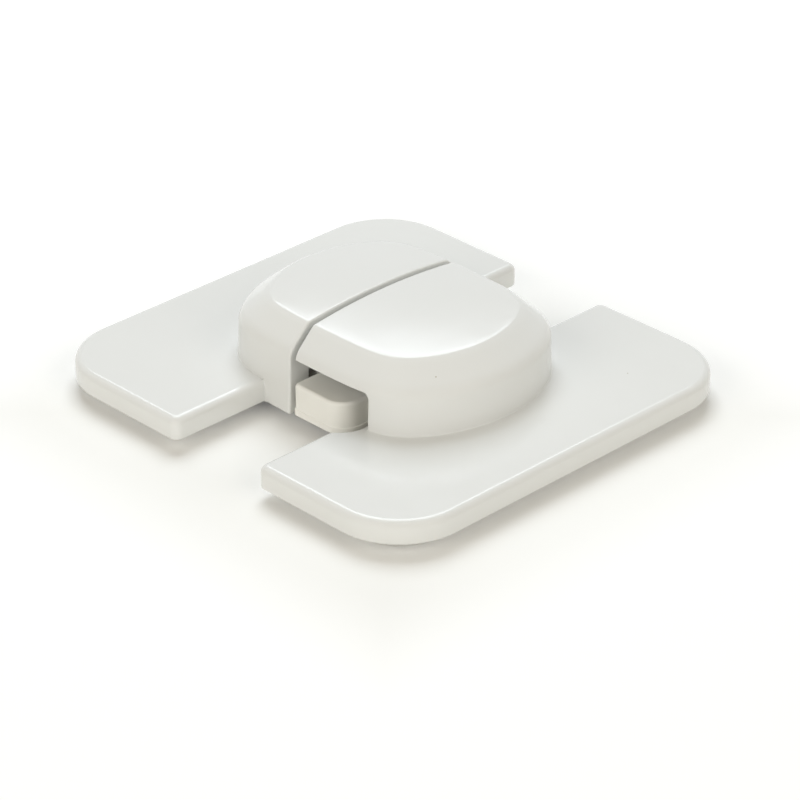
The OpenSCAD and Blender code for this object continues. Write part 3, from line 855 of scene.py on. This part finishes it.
def lever():
    """Rear lever, in millimetres."""
    hook = [(HOOK_TIP, BAR_Y[0]), (PIVOT[0], BAR_Y[0]), (PIVOT[0], BAR_Y[1]), (HOOK_THROAT, BAR_Y[1]),
            (HOOK_THROAT, HOOK_OUT), (HOOK_RAMP, HOOK_OUT), (HOOK_TIP, BAR_Y[1])]
    piece = solid(plate_from(hook, LEVER_Z), "rear_lever")
    carve(piece, "UNION", rod(*PIVOT, LEVER_Z, KNUCKLE, 64))
    corners = {(1, 1): BUTTON_ROUND, (-1, 1): BUTTON_EDGE, (-1, -1): BUTTON_EDGE, (1, -1): BUTTON_EDGE}
    button = slab(BUTTON_X, BUTTON_Y, BUTTON_Z, corners, top=0.6, foot=0.2)
    for level in PARTING:
        score(button, level)
    upper = [v for v in button.verts if v.co.z > sum(PARTING) / 2]
    middle = Vector(BUTTON_MIDDLE)
    bmesh.ops.translate(button, vec=-middle, verts=upper)
    bmesh.ops.scale(button, vec=ABOVE_PARTING, verts=upper)
    bmesh.ops.translate(button, vec=middle, verts=upper)
    carve(piece, "UNION", button)
    core_x = (BUTTON_X[0] + BUTTON_SKIN, BUTTON_X[1] - BUTTON_SKIN)
    core = slab(core_x, (BAR_Y[1], BUTTON_Y[1] - BUTTON_SKIN), (BELOW, BUTTON_Z[1] - BUTTON_SKIN),
                {(1, 1): BUTTON_ROUND - BUTTON_SKIN})
    carve(piece, "DIFFERENCE", core)
    under_bar = block((BUTTON_X[0] - PAST, BUTTON_X[1] + PAST), (BAR_Y[0] - PAST, BAR_Y[1]),
                      (BUTTON_Z[0] - PAST, LEVER_Z[0]))
    carve(piece, "DIFFERENCE", under_bar)
    carve(piece, "DIFFERENCE", rod(*PIVOT, (LEVER_Z[0] - PAST, LEVER_Z[1] + PAST), PIN_HOLE, 48))
    return piece


rear_lever = lever()
front_lever = put_in_scene("front_lever", rear_lever.data.copy())
front_lever.data.transform(Matrix.Scale(-1, 4, (0, 1, 0)))
front_lever.data.flip_normals()
dress(rear_lever, lever_white_and_painted_light, "rear_lever", ["rear_button_lever"], edge=0.05)
dress(front_lever, lever_white_and_painted_light, "front_lever", ["front_button_lever"], edge=0.05)

# %% [markdown]
# ## The springs
# A coil spring pushes each lever out. The wire's round section is spun about the coil's axis and moved on
# at each step, which is what a screw thread is. The end turns lie close together, as on a real
# compression spring, and the turns between them are open.

# %% Coil springs
WIRE, COIL_RADIUS, COIL_Y = 0.24, 1.75, (1.9, 11.2)
CLOSED_PITCH, OPEN_TURNS, TURN_STEPS = 0.54, 6, 28
COIL_X, COIL_Z, WELD = 4.75, 6.05, 0.001


def coil(name, side, body, node):
    """Spring along Y from the middle rib to the lever, on one side of the lock."""
    bm = bmesh.new()
    bmesh.ops.create_circle(bm, segments=10, radius=WIRE)
    bmesh.ops.translate(bm, vec=(COIL_RADIUS, COIL_Y[0], 0), verts=bm.verts)
    section = bm.edges[:]
    open_pitch = (COIL_Y[1] - COIL_Y[0] - 2 * CLOSED_PITCH) / OPEN_TURNS
    for turns, pitch in ((1, CLOSED_PITCH), (OPEN_TURNS, open_pitch), (1, CLOSED_PITCH)):
        done = bmesh.ops.spin(bm, geom=section, cent=(0, 0, 0), axis=(0, -1, 0),
                              dvec=(0, pitch / TURN_STEPS, 0), angle=2 * math.pi * turns,
                              steps=TURN_STEPS * turns)
        section = edges_of(done["geom_last"])
    bmesh.ops.remove_doubles(bm, verts=bm.verts, dist=WELD)
    bmesh.ops.holes_fill(bm, edges=bm.edges[:], sides=0)
    bmesh.ops.translate(bm, vec=(COIL_X, 0, COIL_Z), verts=bm.verts)
    bmesh.ops.scale(bm, vec=(1, side, 1), verts=bm.verts)
    bmesh.ops.recalc_face_normals(bm, faces=bm.faces)
    piece = dress(solid(bm, name), spring_steel, body, [node])
    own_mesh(piece)
    return piece


coil("rear_coil", 1, "latch", "rear_spring")
coil("front_coil", -1, "latch", "front_spring")

# %% [markdown]
# ## Pins and screws
# The levers turn on two steel pins, the hooks catch on two more, and three countersunk screws hold each
# base plate. A turned pin has a small chamfer at both ends. The screws stand head down, so their cross
# slots show when the lock is turned over.

# %% Pins
PIN_FOOT, PIVOT_TOP, CATCH_TOP = 2.3, 11.5, 11.8
PIVOT_RADIUS, CATCH_RADIUS, CHAMFER = 1.25, 1.0, 0.2


def pin(name, x, y, top, radius, body, node):
    """Upright pin with softly chamfered ends."""
    bm = rod(x, y, (PIN_FOOT, top), radius, 40)
    rims = [e for e in bm.edges if same(e.verts[0].co.z, e.verts[1].co.z)]
    round_off(bm, rims, CHAMFER, 2)
    return dress(solid(bm, name), pin_steel, body, [node])


for side, y in (("rear", 1), ("front", -1)):
    pin(side + "_pivot", PIVOT[0], PIVOT[1] * y, PIVOT_TOP, PIVOT_RADIUS, "latch", side + "_pivot_pin")
    pin(side + "_catch", CATCH[0], CATCH[1] * y, CATCH_TOP, CATCH_RADIUS, "strike", side + "_strike_pin")

# %% Screws
HEAD_RADIUS, SHANK_RADIUS, HEAD_Z, SCREW_END = 1.9, 1.0, (2.0, 2.9), 10.0
CROSS_LONG, CROSS_WIDE, CROSS_Z = 1.1, 0.22, (1.5, 2.75)


def screw_set(name, places, body, node):
    """Countersunk screws in one piece, each with a cross slot."""
    bm = bmesh.new()
    for x, y in places:
        head = bmesh.ops.create_cone(bm, cap_ends=True, segments=32, radius1=HEAD_RADIUS,
                                     radius2=SHANK_RADIUS, depth=HEAD_Z[1] - HEAD_Z[0])["verts"]
        bmesh.ops.translate(bm, vec=(x, y, sum(HEAD_Z) / 2), verts=head)
        lid = max({f for v in head for f in v.link_faces}, key=lambda f: f.calc_center_median().z)
        raise_faces(bm, [lid], SCREW_END - HEAD_Z[1])
        bmesh.ops.delete(bm, geom=[lid], context="FACES_ONLY")
    bmesh.ops.recalc_face_normals(bm, faces=bm.faces)
    piece = solid(bm, name)
    for x, y in places:
        for dx, dy in ((CROSS_LONG, CROSS_WIDE), (CROSS_WIDE, CROSS_LONG)):
            carve(piece, "DIFFERENCE", block((x - dx, x + dx), (y - dy, y + dy), CROSS_Z))
    return dress(piece, pin_steel, body, [node])


screw_set("latch_screw_set", LATCH_SCREWS, "latch", "latch_screws")
screw_set("strike_screw_set", STRIKE_SCREWS, "strike", "strike_screws")

# %% [markdown]
# ## The base plates
# The base plates are flat and lie inside the dome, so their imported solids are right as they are. A matte
# moulded finish on their material slots is all that they need.

# %% Base plates
for name in ("latch_base", "strike_base"):
    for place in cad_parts[name].material_slots:
        place.material = base_white
    print(name, "keeps its solid, with", len(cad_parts[name].material_slots), "material slot")

# %% [markdown]
# ## The adhesive pads
# A foam pad under each wing sticks the lock down. Die-cut foam that has been pressed on is flat above and
# below, and its cut sides draw in a little at half height. The pad is a plate with three loops of edges
# round its sides, which are pulled in, the middle one most.

# %% Foam pads
PAD_INSET, PAD_ROUND, PAD_HALF = 3.0, 0.15, (13, 37)
WAIST = ((0.6, 0.14), (1.0, 0.2), (1.4, 0.14))


def foam_pad(name, inner, side, body, node):
    """Pad under one wing, set in all round; its waist is drawn in at three levels."""
    x = sorted((inner + side * PAD_INSET, side * (WING_END - PAD_INSET)))
    y = (PAD_INSET - WING_SIDE, WING_SIDE - PAD_INSET)
    corners = corners_of(side, WING_CORNER - PAD_INSET, SMALL_CORNER)
    bm = slab(x, y, (0, WING_Z[0]), corners, top=PAD_ROUND, foot=PAD_ROUND)
    for level, _ in WAIST:
        score(bm, level)
    middle = sum(x) / 2
    bmesh.ops.translate(bm, vec=(-middle, 0, 0), verts=bm.verts)
    for level, pull in WAIST:
        loop = [v for v in bm.verts if same(v.co.z, level)]
        bmesh.ops.scale(bm, vec=(1 - pull / PAD_HALF[0], 1 - pull / PAD_HALF[1], 1), verts=loop)
    bmesh.ops.translate(bm, vec=(middle, 0, 0), verts=bm.verts)
    pad = dress(solid(bm, name), pad_foam, body, [node])
    return pad


foam_pad("latch_foam", LATCH_WING, 1, "latch", "latch_pad")
foam_pad("strike_foam", STRIKE_WING, -1, "strike", "strike_pad")

# %% [markdown]
# ## Last update
# The view layer is updated once more at the end. The pieces made here have to stay inside the box of the
# imported solids.

bpy.context.view_layer.update()
